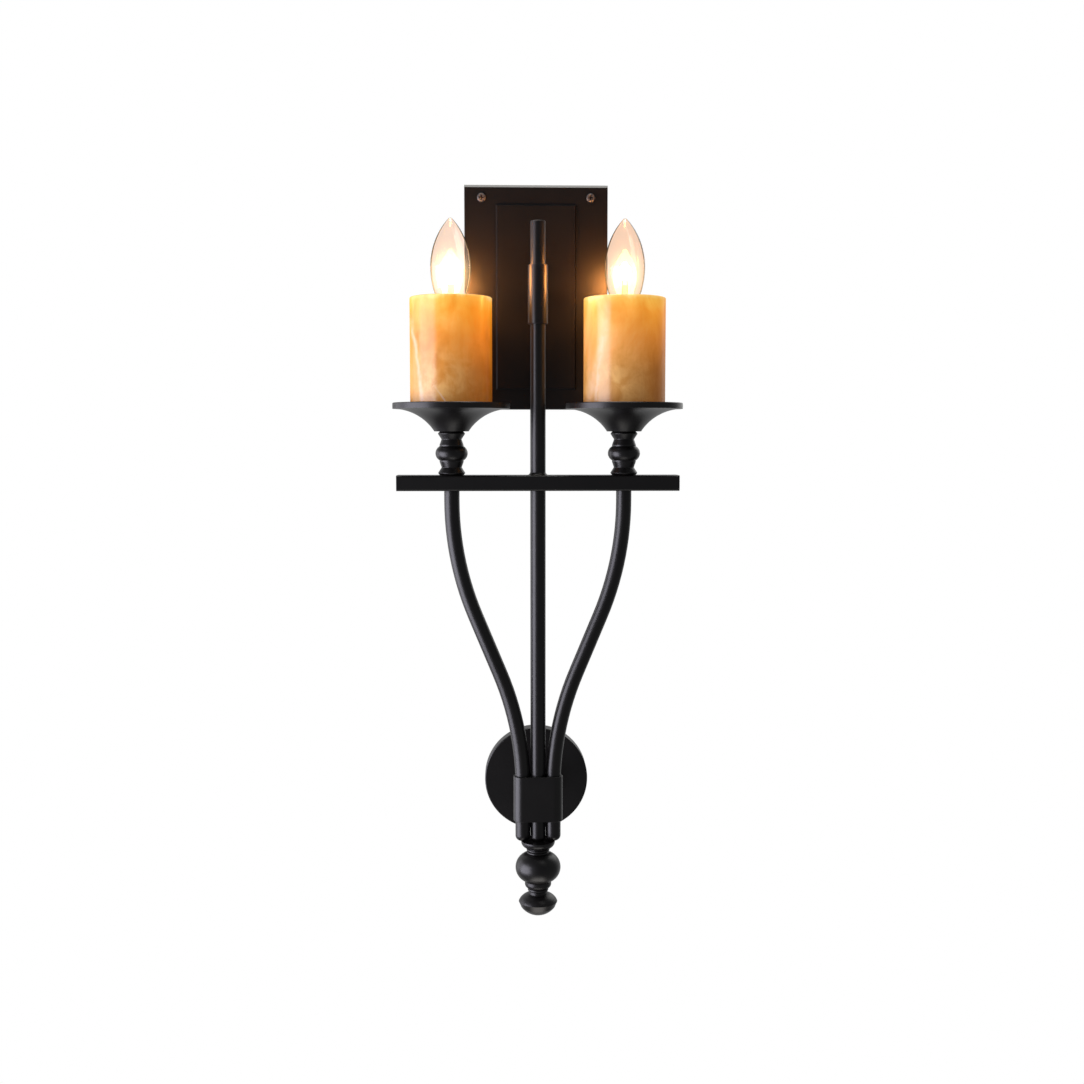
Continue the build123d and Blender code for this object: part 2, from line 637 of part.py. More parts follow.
for side, hand in ((-1, "left"), (1, "right")):
    x = side * candle_x
    spin = spindle(x)

    # Side rod with a tenon into the bar
    with BuildPart() as curved_rod:
        with BuildLine(rod_face) as rod_path:
            FilletPolyline(
                (x, bar_bottom),
                (x, bar_bottom - bend_lead - bend_tangent),
                (side * rod_pitch, clamp_top - bend_in_clamp + bend_tangent),
                (side * rod_pitch, rod_end),
                radius=bend_radius,
            )
        with BuildSketch(level(x, bar_bottom)):
            Circle(rod_radius)
        sweep(path=rod_path.wire())
        fillet(curved_rod.edges().group_by(Axis.Z)[0], radius=min(rod_end_round, 0.9 * rod_radius))
        with BuildSketch(level(x, bar_bottom)):
            Circle(tenon_diameter / 2)
        extrude(amount=bar_wall + tenon_past_wall)
    keep(curved_rod, f"{hand}_curved_rod")

    # End cap of the bar
    with BuildPart() as bar_cap:
        with BuildSketch(Plane.YZ.offset(side * tube_half)):
            with Locations((-rod_standoff, bar_middle)):
                RectangleRounded(bar_depth, bar_height, bar_corner)
        extrude(amount=side * bar_cap_thickness)
        with BuildSketch(Plane.YZ.offset(side * tube_half)):
            with Locations((-rod_standoff, bar_middle)):
                Rectangle(
                    bar_depth - 2 * bar_wall - 2 * slip_fit,
                    bar_height - 2 * bar_wall - 2 * slip_fit,
                )
        extrude(amount=-side * bar_cap_plug)
    keep(bar_cap, f"{hand}_bar_cap")

    # Turned stem: one half is drawn from the ball's middle and mirrored
    with BuildPart() as stem:
        with BuildSketch(upright(x, bar_top + stem_height / 2)):
            with BuildLine():
                ball_end = stem_ball_height / 2
                step_end = ball_end + stem_step_height
                stem_end = stem_height / 2
                ring_level = stem_end - stem_ring_drop
                neck_level = (step_end + ring_level) / 2
                sagitta = stem_ball_radius - stem_step_radius
                ball_curve = (ball_end**2 + sagitta**2) / (2 * sagitta)
                RadiusArc((stem_ball_radius, 0), (stem_step_radius, ball_end), -ball_curve)
                FilletPolyline(
                    (stem_step_radius, ball_end),
                    (stem_step_radius, step_end),
                    (stem_neck_radius, neck_level),
                    (stem_ring_radius, ring_level),
                    (stem_end_radius, stem_end),
                    radius=stem_corner,
                )
                Polyline((stem_end_radius, stem_end), (0, stem_end), (0, 0), (stem_ball_radius, 0))
            make_face()
            mirror(about=Plane.XZ)
        revolve(axis=spin)
        with BuildSketch(level(x, bar_top)):
            Circle(nipple_diameter / 2 + slip_fit)
        extrude(amount=stem_height, mode=Mode.SUBTRACT)
    keep(stem, f"{hand}_stem")

    # Dish: a trumpet flare with an upright rim, a tray and a ring that centres the candle
    with BuildPart() as dish:
        with BuildSketch(upright(x, stem_top)):
            with BuildLine():
                flare_top = dish_height - dish_rim_height
                flare_width = dish_radius - dish_foot_radius
                flare_radius = (flare_width**2 + flare_top**2) / (2 * flare_top)
                tray = dish_height - tray_depth
                RadiusArc((dish_foot_radius, 0), (dish_radius, flare_top), flare_radius)
                Polyline(
                    (dish_radius, flare_top),
                    (dish_radius, dish_height),
                    (dish_radius - dish_rim_width, dish_height),
                    (dish_radius - dish_rim_width, tray),
                    (ring_radius, tray),
                    (ring_radius, tray + ring_height),
                    (ring_radius - ring_width, tray + ring_height),
                    (ring_radius - ring_width, tray),
                    (0, tray),
                    (0, 0),
                    (dish_foot_radius, 0),
                )
            make_face()
        revolve(axis=spin)
        top_edges = dish.edges().group_by(Axis.Z)[-1]
        chamfer(top_edges.sort_by(SortBy.RADIUS)[-1], length=dish_edge_chamfer)
        with BuildSketch(level(x, stem_top)):
            Circle(nipple_diameter / 2 + slip_fit)
        extrude(amount=dish_height, mode=Mode.SUBTRACT)
    keep(dish, f"{hand}_dish")

    # Candle sleeve of onyx, standing on the tray
    with BuildPart() as candle_sleeve:
        with BuildSketch(level(x, tray_floor)):
            Circle(candle_diameter / 2)
            Circle(candle_bore_radius, mode=Mode.SUBTRACT)
        extrude(amount=candle_height)
        chamfer(candle_sleeve.edges().group_by(Axis.Z)[-1], length=candle_edge_chamfer)
    keep(candle_sleeve, f"{hand}_candle_sleeve")

    # Threaded tube that draws the dish and stem down on the bar, with its two nuts
    with BuildPart() as nipple:
        with BuildSketch(level(x, nipple_bottom)):
            Circle(nipple_diameter / 2)
            Circle(nipple_bore / 2, mode=Mode.SUBTRACT)
        extrude(amount=holder_bottom + holder_base - nipple_bottom)
    keep(nipple, f"{hand}_nipple")
    nipple_hole = nipple_diameter / 2 + thread_fit
    bar_nut_seat = level(x, bar_top - bar_wall - bar_nut_height)
    hex_nut(f"{hand}_bar_nut", bar_nut_seat, bar_nut_height, nipple_hole)
    hex_nut(f"{hand}_dish_nut", level(x, tray_floor), nut_height, nipple_hole)

    # Lampholder housing with a ledge for its insert
    with BuildPart() as holder_housing:
        with BuildSketch(level(x, holder_bottom)):
            Circle(holder_diameter / 2)
        extrude(amount=holder_height)
        with BuildSketch(level(x, holder_top)):
            Circle(holder_diameter / 2 - holder_wall)
        extrude(amount=-insert_height, mode=Mode.SUBTRACT)
        with BuildSketch(level(x, insert_bottom)):
            Circle(holder_diameter / 2 - holder_wall - holder_ledge)
        extrude(amount=-(holder_height - insert_height - holder_base), mode=Mode.SUBTRACT)
        with BuildSketch(level(x, holder_bottom)):
            Circle(nipple_diameter / 2 + thread_fit)
        extrude(amount=holder_base, mode=Mode.SUBTRACT)
    keep(holder_housing, f"{hand}_holder_housing")

    # Insulating insert, stepped for the screw shell and the contact, with two wire holes
    with BuildPart() as holder_insert:
        with BuildSketch(level(x, insert_bottom)):
            Circle(insert_radius)
        extrude(amount=insert_height)
        with BuildSketch(level(x, shell_bottom)):
            Circle(shell_radius + shell_sheet + slip_fit)
        extrude(amount=insert_height, mode=Mode.SUBTRACT)
        with BuildSketch(level(x, pocket_floor)):
            Circle(contact_pocket_radius)
        extrude(amount=contact_pocket_depth, mode=Mode.SUBTRACT)
        with BuildSketch(level(x, insert_bottom)):
            with Locations((0, -wire_hole_offset), (0, wire_hole_offset)):
                Circle(wire_hole_diameter / 2)
        extrude(amount=pocket_floor - insert_bottom, mode=Mode.SUBTRACT)
    keep(holder_insert, f"{hand}_holder_insert")

    with BuildPart() as screw_shell:
        with BuildSketch(level(x, shell_bottom)):
            Circle(shell_radius + shell_sheet)
            Circle(shell_radius, mode=Mode.SUBTRACT)
        extrude(amount=shell_height)
    keep(screw_shell, f"{hand}_screw_shell")

    # Spring contact: a strip on the pocket's floor, folded up under the lamp's contact
    with BuildPart() as centre_contact:
        with BuildSketch(upright(x, pocket_floor).offset(-contact_width / 2)):
            with BuildLine():
                tongue_top = contact_bottom - bulb_fit - pocket_floor
                half_foot = contact_foot / 2
                Polyline(
                    (-half_foot, 0),
                    (half_foot, 0),
                    (half_foot, tongue_top),
                    (-contact_sheet, tongue_top),
                    (-contact_sheet, tongue_top - contact_sheet),
                    (half_foot - contact_sheet, tongue_top - contact_sheet),
                    (half_foot - contact_sheet, contact_sheet),
                    (-half_foot, contact_sheet),
                    close=True,
                )
            make_face()
        extrude(amount=contact_width)
    keep(centre_contact, f"{hand}_centre_contact")

    # Lamp cap: shell, insulator and contact
    with BuildPart() as bulb_cap:
        with BuildSketch(level(x, cap_bottom)):
            Circle(cap_radius)
            Circle(cap_radius - cap_sheet, mode=Mode.SUBTRACT)
        extrude(amount=cap_length)
    keep(bulb_cap, f"{hand}_bulb_cap")

    with BuildPart() as cap_insulator:
        with BuildSketch(upright(x, cap_bottom)):
            with BuildLine():
                Polyline(
                    (0, insulator_plug),
                    (cap_radius - cap_sheet - slip_fit, insulator_plug),
                    (cap_radius - cap_sheet - slip_fit, -slip_fit),
                    (insulator_end_radius, -insulator_height),
                    (0, -insulator_height),
                    close=True,
                )
            make_face()
        revolve(axis=spin)
        with BuildSketch(level(x, insulator_bottom)):
            Circle(cap_contact_pin + slip_fit)
        extrude(amount=cap_contact_pin_length + slip_fit, mode=Mode.SUBTRACT)
    keep(cap_insulator, f"{hand}_cap_insulator")

    with BuildPart() as cap_contact:
        with BuildSketch(level(x, insulator_bottom)):
            Circle(cap_contact_radius)
        extrude(amount=-cap_contact_height)
        fillet(cap_contact.edges().group_by(Axis.Z)[0], radius=0.5 * cap_contact_height)
        with BuildSketch(level(x, insulator_bottom)):
            Circle(cap_contact_pin)
        extrude(amount=cap_contact_pin_length)
    keep(cap_contact, f"{hand}_cap_contact")

    # Glass envelope: a torpedo with a drawn neck, open at the bottom inside the cap
    with BuildPart() as bulb_glass:
        for inset, mode in ((0, Mode.ADD), (glass_wall, Mode.SUBTRACT)):
            with BuildSketch(upright(x, cap_rim)):
                with BuildLine():
                    for centre, radius, start_angle, arc in envelope(inset):
                        CenterArc(centre, radius, start_angle, arc)
                    neck_y = envelope(inset)[-1][0][1]
                    Polyline(
                        (bulb_neck_radius - inset, neck_y),
                        (bulb_neck_radius - inset, -bulb_neck_in_cap),
                        (0, -bulb_neck_in_cap),
                        (0, bulb_tip_height - inset),
                    )
                make_face()
            revolve(axis=spin, mode=mode)
    keep(bulb_glass, f"{hand}_bulb_glass")

    # Glass mount inside the envelope, with two lead wires and the filament loop
    mount_bottom = cap_rim - bulb_neck_in_cap
    mount_top = mount_bottom + mount_height
    flare_radius = bulb_neck_radius - glass_wall - slip_fit
    with BuildPart() as bulb_mount:
        with BuildSketch(upright(x, mount_bottom)):
            with BuildLine():
                Polyline((0, 0), (flare_radius, 0), (flare_radius, mount_flare_height))
                throat = (mount_throat_radius, mount_throat_height)
                TangentArc(throat, (flare_radius, mount_flare_height), tangent=(0, -1))
                Polyline(throat, (mount_throat_radius, mount_height), (0, mount_height), (0, 0))
            make_face()
        revolve(axis=spin)
    keep(bulb_mount, f"{hand}_bulb_mount")

    with BuildPart() as lead_wires:
        with BuildSketch(level(x, mount_top)):
            with Locations((-lead_spread, 0), (lead_spread, 0)):
                Circle(lead_radius)
        extrude(amount=lead_length)
    keep(lead_wires, f"{hand}_lead_wires")

    filament_foot = mount_top + lead_length
    with BuildPart() as filament:
        with BuildLine(rod_face) as filament_path:
            FilletPolyline(
                (x - lead_spread, filament_foot),
                (x - lead_spread, filament_foot + filament_lead_in),
                (x - filament_half_width, filament_foot + filament_rise / 2),
                (x, filament_foot + filament_rise),
                (x + filament_half_width, filament_foot + filament_rise / 2),
                (x + lead_spread, filament_foot + filament_lead_in),
                (x + lead_spread, filament_foot),
                radius=filament_bend,
            )
        with BuildSketch(level(x - lead_spread, filament_foot)):
            Circle(filament_radius)
        sweep(path=filament_path.wire())
    keep(filament, f"{hand}_filament")
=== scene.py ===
import math

import bmesh
import bpy
from mathutils import Euler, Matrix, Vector


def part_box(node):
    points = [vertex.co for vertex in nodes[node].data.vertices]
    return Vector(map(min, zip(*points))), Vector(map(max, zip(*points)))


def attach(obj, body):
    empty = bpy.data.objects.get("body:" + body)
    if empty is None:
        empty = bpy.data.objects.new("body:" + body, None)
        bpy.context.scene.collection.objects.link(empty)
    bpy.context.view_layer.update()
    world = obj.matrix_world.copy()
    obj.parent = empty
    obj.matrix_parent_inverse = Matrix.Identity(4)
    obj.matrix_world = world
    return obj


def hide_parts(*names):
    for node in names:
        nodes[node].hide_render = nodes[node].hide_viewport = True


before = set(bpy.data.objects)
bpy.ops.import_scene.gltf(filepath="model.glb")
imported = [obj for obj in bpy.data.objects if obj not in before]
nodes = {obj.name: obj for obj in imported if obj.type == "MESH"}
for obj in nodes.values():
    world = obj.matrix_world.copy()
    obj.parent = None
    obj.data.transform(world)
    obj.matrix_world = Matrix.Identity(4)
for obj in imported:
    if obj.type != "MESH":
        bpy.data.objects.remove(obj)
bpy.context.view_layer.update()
hands = ("left", "right")
print("stage: frame loaded")


# Helpers for node materials. Lengths are in metres.
# A noise is given as scale, detail, roughness and distortion, a bump as strength and depth.
colourMix = {"factor": 0, "first": 6, "second": 7, "result": 2}  # the mix node's colour sockets


def startMaterial(name):
    material = bpy.data.materials.new(name)
    material.use_nodes = True
    tree = material.node_tree
    tree.nodes.clear()
    output = tree.nodes.new("ShaderNodeOutputMaterial")
    return material, tree, output


def addNode(tree, kind, settings=None, sockets=None):
    node = tree.nodes.new(kind)
    for key, value in (settings or {}).items():
        setattr(node, key, value)
    for key, value in (sockets or {}).items():
        node.inputs[key].default_value = value
    return node


def feed(tree, socket, value):
    if hasattr(value, "is_linked"):
        tree.links.new(value, socket)
    else:
        socket.default_value = value


def addRamp(tree, factor, stops):
    node = tree.nodes.new("ShaderNodeValToRGB")
    ramp = node.color_ramp
    while len(ramp.elements) > 1:
        ramp.elements.remove(ramp.elements[-1])
    ramp.elements[0].position = stops[0][0]
    ramp.elements[0].color = (*stops[0][1], 1)
    for place, colour in stops[1:]:
        element = ramp.elements.new(place)
        element.color = (*colour, 1)
    tree.links.new(factor, node.inputs["Fac"])
    return node.outputs["Color"]


def addMix(tree, factor, first, second, blend="MIX"):
    node = addNode(tree, "ShaderNodeMix", {"data_type": "RGBA", "blend_type": blend})
    feed(tree, node.inputs[colourMix["factor"]], factor)
    for key, value in (("first", first), ("second", second)):
        colour = (*value, 1) if isinstance(value, tuple) else value
        feed(tree, node.inputs[colourMix[key]], colour)
    return node.outputs[colourMix["result"]]


def addMath(tree, operation, *values):
    node = addNode(tree, "ShaderNodeMath", {"operation": operation})
    for socket, value in zip(node.inputs, values):
        feed(tree, socket, value)
    return node.outputs[0]


def addNoise(tree, vector, scale, detail=3.0, roughness=0.5, distortion=0.0):
    node = addNode(tree, "ShaderNodeTexNoise", sockets={
        "Scale": scale, "Detail": detail, "Roughness": roughness, "Distortion": distortion})
    tree.links.new(vector, node.inputs["Vector"])
    return node.outputs["Fac"]


def addBump(tree, height, strength, depth):
    node = addNode(tree, "ShaderNodeBump", sockets={"Strength": strength, "Distance": depth})
    tree.links.new(height, node.inputs["Height"])
    return node.outputs["Normal"]


def addMapping(tree, vector, turn, stretch):
    node = addNode(tree, "ShaderNodeMapping", sockets={"Rotation": turn, "Scale": stretch})
    tree.links.new(vector, node.inputs["Vector"])
    return node.outputs[0]


def addRange(tree, value, start, end, low=0.0, high=1.0, kind="SMOOTHSTEP"):
    node = addNode(tree, "ShaderNodeMapRange", {"interpolation_type": kind}, {
        "From Min": start, "From Max": end, "To Min": low, "To Max": high})
    tree.links.new(value, node.inputs["Value"])
    return node.outputs[0]


def splitVector(tree, vector):
    node = tree.nodes.new("ShaderNodeSeparateXYZ")
    tree.links.new(vector, node.inputs[0])
    return node.outputs["X"], node.outputs["Y"], node.outputs["Z"]


def mixShaders(tree, factor, first, second):
    node = tree.nodes.new("ShaderNodeMixShader")
    tree.links.new(factor, node.inputs[0])
    tree.links.new(first.outputs[0], node.inputs[1])
    tree.links.new(second.outputs[0], node.inputs[2])
    return node.outputs[0]


def objectPlace(tree):
    return addNode(tree, "ShaderNodeTexCoord").outputs["Object"]


def wear(material, names):
    for name in names:
        mesh = nodes[name].data
        mesh.materials.clear()
        mesh.materials.append(material)


# Satin black coat with a fine grain
blackCoat = {
    "colour": (0.0050, 0.0045, 0.0043), "worn": (0.0075, 0.0066, 0.0062), "roughness": (0.30, 0.38),
    "specular": 0.45, "cloud": (38.0, 4.0), "grain": (1500.0, 2.0), "grainBump": (0.08, 0.0002),
}


def makeBlackCoat(spec):
    material, tree, output = startMaterial("blackCoat")
    place = objectPlace(tree)
    cloud = addNoise(tree, place, *spec["cloud"])
    grain = addNoise(tree, place, *spec["grain"])
    shader = addNode(tree, "ShaderNodeBsdfPrincipled", sockets={"Specular IOR Level": spec["specular"]})
    tree.links.new(addMix(tree, cloud, spec["colour"], spec["worn"]), shader.inputs["Base Color"])
    low, high = spec["roughness"]
    tree.links.new(addMath(tree, "MULTIPLY_ADD", cloud, high - low, low), shader.inputs["Roughness"])
    tree.links.new(addBump(tree, grain, *spec["grainBump"]), shader.inputs["Normal"])
    tree.links.new(shader.outputs[0], output.inputs["Surface"])
    return material


blackNodes = ["back_plate", "support_arm", "rod_sleeve", "centre_rod", "rod_top_plug", "cross_bar",
              "left_bar_cap", "right_bar_cap", "left_curved_rod", "right_curved_rod", "rod_clamp",
              "wall_disc", "standoff_post", "finial_bowl", "finial", "left_stem", "right_stem",
              "left_dish", "right_dish", "rod_bottom_plug"]
wear(makeBlackCoat(blackCoat), blackNodes)
print("stage: black coat")


# Metals: screws, plated fixings, brass, cap sheet
metalFinish = {"tarnish": (4.0, 0.6), "fineTimes": 12, "fineDetail": 2.0, "spread": 0.2,
               "bump": (0.15, 0.0001)}  # the tarnish has its detail and roughness here, its scale below
screwMetal = {"bright": (0.17, 0.17, 0.17), "dark": (0.10, 0.097, 0.095), "scale": 420.0,
              "roughness": 0.50, "metallic": 0.7}
zincMetal = {"bright": (0.60, 0.61, 0.62), "dark": (0.42, 0.43, 0.44), "scale": 260.0, "roughness": 0.30}
brassMetal = {"bright": (0.80, 0.58, 0.24), "dark": (0.58, 0.38, 0.14), "scale": 300.0, "roughness": 0.22}
capMetal = {"bright": (0.70, 0.66, 0.60), "dark": (0.50, 0.46, 0.40), "scale": 300.0, "roughness": 0.22}


def makeMetal(name, bright, dark, scale, roughness, metallic=1.0):
    material, tree, output = startMaterial(name)
    place = objectPlace(tree)
    tarnish = addNoise(tree, place, scale, *metalFinish["tarnish"])
    fine = addNoise(tree, place, scale * metalFinish["fineTimes"], metalFinish["fineDetail"])
    rough = addMath(tree, "MULTIPLY_ADD", tarnish, metalFinish["spread"], roughness)
    shader = addNode(tree, "ShaderNodeBsdfPrincipled", sockets={"Metallic": metallic})
    tree.links.new(addMix(tree, tarnish, bright, dark), shader.inputs["Base Color"])
    tree.links.new(rough, shader.inputs["Roughness"])
    tree.links.new(addBump(tree, fine, *metalFinish["bump"]), shader.inputs["Normal"])
    tree.links.new(shader.outputs[0], output.inputs["Surface"])
    return material


wear(makeMetal("nickelScrew", **screwMetal), ["plate_screws", "disc_screw"])
zincNodes = ["arm_washer", "arm_nut", "finial_stud"]
brassNodes = []
capNodes = []
for hand in hands:
    zincNodes += [hand + "_nipple", hand + "_bar_nut", hand + "_dish_nut", hand + "_lead_wires"]
    brassNodes += [hand + "_screw_shell", hand + "_centre_contact", hand + "_cap_contact"]
    capNodes += [hand + "_bulb_cap"]
wear(makeMetal("zincSteel", **zincMetal), zincNodes)
wear(makeMetal("plainBrass", **brassMetal), brassNodes)
wear(makeMetal("platedCap", **capMetal), capNodes)

# Screws: painted shade darkens the cross recess, the head is dull and the sheltered shank still bright
screwHead = {"radius": 0.004, "height": 0.0024, "recessReach": 0.0025, "recessStart": 0.0005,
             "recessEnd": 0.0016, "shade": (0.02, 0.016, 0.014), "shank": (0.52, 0.52, 0.51)}


def screwShadeAndWear(material, spec):
    lo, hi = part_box("plate_screws")
    tree = material.node_tree
    shader = next(node for node in tree.nodes if node.type == "BSDF_PRINCIPLED")
    metal = shader.inputs["Base Color"].links[0].from_socket
    placeX, placeY, placeZ = splitVector(tree, objectPlace(tree))
    across = addMath(tree, "SUBTRACT", addMath(tree, "ABSOLUTE", placeX), hi[0] - spec["radius"])
    above = addMath(tree, "SUBTRACT", addMath(tree, "ABSOLUTE", placeZ), hi[2] - spec["radius"])
    square = addMath(tree, "MULTIPLY_ADD", across, across, addMath(tree, "MULTIPLY", above, above))
    inside = addMath(tree, "LESS_THAN", square, spec["recessReach"] ** 2)
    begun = addMath(tree, "GREATER_THAN", placeY, lo[1] + spec["recessStart"])
    ended = addMath(tree, "LESS_THAN", placeY, lo[1] + spec["recessEnd"])
    # painted shade: the cross recess is coloured dark where shade falls in it
    paintedRecessShade = addMath(tree, "MULTIPLY", inside, addMath(tree, "MULTIPLY", begun, ended))
    sheltered = addMath(tree, "GREATER_THAN", placeY, lo[1] + spec["height"])
    colour = addMix(tree, sheltered, addMix(tree, paintedRecessShade, metal, spec["shade"]), spec["shank"])
    tree.links.new(colour, shader.inputs["Base Color"])


screwShadeAndWear(nodes["plate_screws"].data.materials[0], screwHead)
print("stage: metals")


# Threads: rows of points that climb with the helix and end flat at both ends
threadWeld = 0.000004


def addThread(work, place, angles, ends, pitch, profile, radiusAt):
    start, end = ends
    turns = math.ceil((end - start) / pitch) + 2  # one more at each end, which the clamp flattens
    rows = []
    for turn in range(turns):
        for along, rise in profile:
            row = []
            for angle in angles:
                turned = (angle - angles[0]) / (2 * math.pi)
                height = start + pitch * (turn - 1 + along + turned)
                height = min(max(height, start), end)
                row.append(work.verts.new(place(angle, radiusAt(height, rise), height)))
            rows.append(row)
    for index in range(len(rows) - 1):
        for column in range(len(angles)):
            after = (column + 1) % len(angles)
            across = index if after else index + len(profile)
            if across + 1 < len(rows):
                work.faces.new((rows[index][column], rows[across][after],
                                rows[across + 1][after], rows[index + 1][column]))
    return rows[0], rows[-1]


def finishThread(name, work, material, sharpAngle):
    bmesh.ops.remove_doubles(work, verts=work.verts, dist=threadWeld)
    bmesh.ops.recalc_face_normals(work, faces=work.faces)
    mesh = bpy.data.meshes.new(name)
    work.to_mesh(mesh)
    work.free()
    if "custom_normal" in mesh.attributes:
        mesh.attributes.remove(mesh.attributes["custom_normal"])
    mesh.shade_smooth()
    mesh.set_sharp_from_angle(angle=math.radians(sharpAngle))
    mesh.materials.clear()
    mesh.materials.append(material)
    piece = bpy.data.objects.new(name, mesh)
    bpy.context.collection.objects.link(piece)
    return piece


# Wall screws keep the solid's heads and plain shanks, the rest is a sharp thread with a tapered point
wallScrew = {"plainEnd": 0.0084, "slack": 0.0002, "plain": 0.0017, "core": 0.00125, "crest": 0.0020,
             "pitch": 0.0021, "runIn": 0.0018, "point": 0.0060, "sharpAngle": 30.0,
             "profile": [(0.0, 0.0), (0.60, 0.0), (0.77, 1.0), (0.83, 1.0)]}  # along the pitch, rise


def makeWallScrews(spec):
    lo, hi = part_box("plate_screws")
    solid = nodes["plate_screws"].data
    shoulder = lo[1] + spec["plainEnd"]
    tip = hi[1]
    work = bmesh.new()
    work.from_mesh(solid)
    bmesh.ops.remove_doubles(work, verts=work.verts, dist=threadWeld)
    axisX, axisZ = hi[0] - screwHead["radius"], hi[2] - screwHead["radius"]
    wide = (spec["plain"] + spec["crest"]) / 2
    past = []
    rings = {}
    for vert in work.verts:
        out = math.hypot(abs(vert.co.x) - axisX, abs(vert.co.z) - axisZ)
        reached = vert.co.y > shoulder - spec["slack"]
        if vert.co.y > shoulder + spec["slack"] or (reached and out > wide):
            past.append(vert)
        elif reached:
            rings.setdefault((vert.co.x > 0, vert.co.z > 0), []).append(vert.co.copy())
    bmesh.ops.delete(work, geom=past, context="VERTS")

    def radiusAt(height, rise):
        begun = min(1.0, (height - shoulder) / spec["runIn"])
        base = spec["plain"] + (spec["core"] - spec["plain"]) * begun
        raised = (spec["crest"] - spec["core"]) * rise * begun
        return (base + raised) * min(1.0, (tip - height) / spec["point"])

    for ring in rings.values():
        centre = sum(ring, Vector()) / len(ring)
        angles = sorted(math.atan2(co.x - centre.x, co.z - centre.z) % (2 * math.pi) for co in ring)

        def place(angle, radius, height):
            return (centre.x + radius * math.sin(angle), height, centre.z + radius * math.cos(angle))

        addThread(work, place, angles, (shoulder, tip), spec["pitch"], spec["profile"], radiusAt)
    return finishThread("wallScrews", work, solid.materials[0], spec["sharpAngle"])


# Lamp caps: thin sheet with a rolled round thread below a plain skirt
lampCap = {"sheet": 0.00035, "pitch": 0.00282, "depth": 0.00062, "skirt": 0.0040, "foot": 0.0017,
           "fade": 0.0014, "sides": 48, "steps": 6, "sharpAngle": 40.0}


def makeLampCap(hand, spec):
    lo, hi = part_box(hand + "_bulb_cap")
    centre = [(lo[axis] + hi[axis]) / 2 for axis in range(3)]
    crest = (hi[1] - lo[1]) / 2
    bottom, rim = lo[2], hi[2]
    angles = [2 * math.pi * step / spec["sides"] for step in range(spec["sides"])]
    profile = [(step / spec["steps"], (1 + math.cos(2 * math.pi * step / spec["steps"])) / 2)
               for step in range(spec["steps"])]

    def place(angle, radius, height):
        return (centre[0] + radius * math.cos(angle), centre[1] + radius * math.sin(angle), height)

    def outside(height, rise):
        fromFoot = (height - bottom - spec["foot"]) / spec["fade"]
        fromSkirt = (rim - spec["skirt"] - height) / spec["fade"]
        return crest - spec["depth"] * (1 - rise) * max(0.0, min(1.0, fromFoot, fromSkirt))

    def inside(height, rise):
        return outside(height, rise) - spec["sheet"]

    work = bmesh.new()
    outer = addThread(work, place, angles, (bottom, rim), spec["pitch"], profile, outside)
    inner = addThread(work, place, angles, (bottom, rim), spec["pitch"], profile, inside)
    for outerRing, innerRing in zip(outer, inner):
        for step in range(spec["sides"]):
            after = (step + 1) % spec["sides"]
            work.faces.new((outerRing[step], outerRing[after], innerRing[after], innerRing[step]))
    material = nodes[hand + "_bulb_cap"].data.materials[0]
    return finishThread(hand + "LampCap", work, material, spec["sharpAngle"])


screws = makeWallScrews(wallScrew)
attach(screws, "frame")
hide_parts("plate_screws")
for hand in hands:
    cap = makeLampCap(hand, lampCap)
    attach(cap, hand + "_bulb_base")
    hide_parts(hand + "_bulb_cap")
print("stage: threads")


# Lampholder plastic and ceramic, and the lamp cap's glass
mouldedFinish = {"mottle": (110.0, 3.0), "grain": (1800.0, 2.0), "bump": (0.2, 0.0001)}
mouldedPieces = {
    "holder_housing": {"name": "ivoryPlastic", "light": (0.78, 0.70, 0.54), "dark": (0.70, 0.61, 0.45),
                       "roughness": 0.45},
    "holder_insert": {"name": "whiteCeramic", "light": (0.82, 0.80, 0.76), "dark": (0.72, 0.70, 0.66),
                      "roughness": 0.7},
    "cap_insulator": {"name": "blackGlass", "light": (0.012, 0.012, 0.016), "dark": (0.03, 0.028, 0.03),
                      "roughness": 0.2},
}


def makeMoulded(name, light, dark, roughness):
    material, tree, output = startMaterial(name)
    place = objectPlace(tree)
    mottle = addNoise(tree, place, *mouldedFinish["mottle"])
    grain = addNoise(tree, place, *mouldedFinish["grain"])
    shader = addNode(tree, "ShaderNodeBsdfPrincipled", sockets={"Roughness": roughness})
    tree.links.new(addMix(tree, mottle, light, dark), shader.inputs["Base Color"])
    tree.links.new(addBump(tree, grain, *mouldedFinish["bump"]), shader.inputs["Normal"])
    tree.links.new(shader.outputs[0], output.inputs["Surface"])
    return material


for piece, spec in mouldedPieces.items():
    wear(makeMoulded(**spec), ["left_" + piece, "right_" + piece])
print("stage: lampholders")
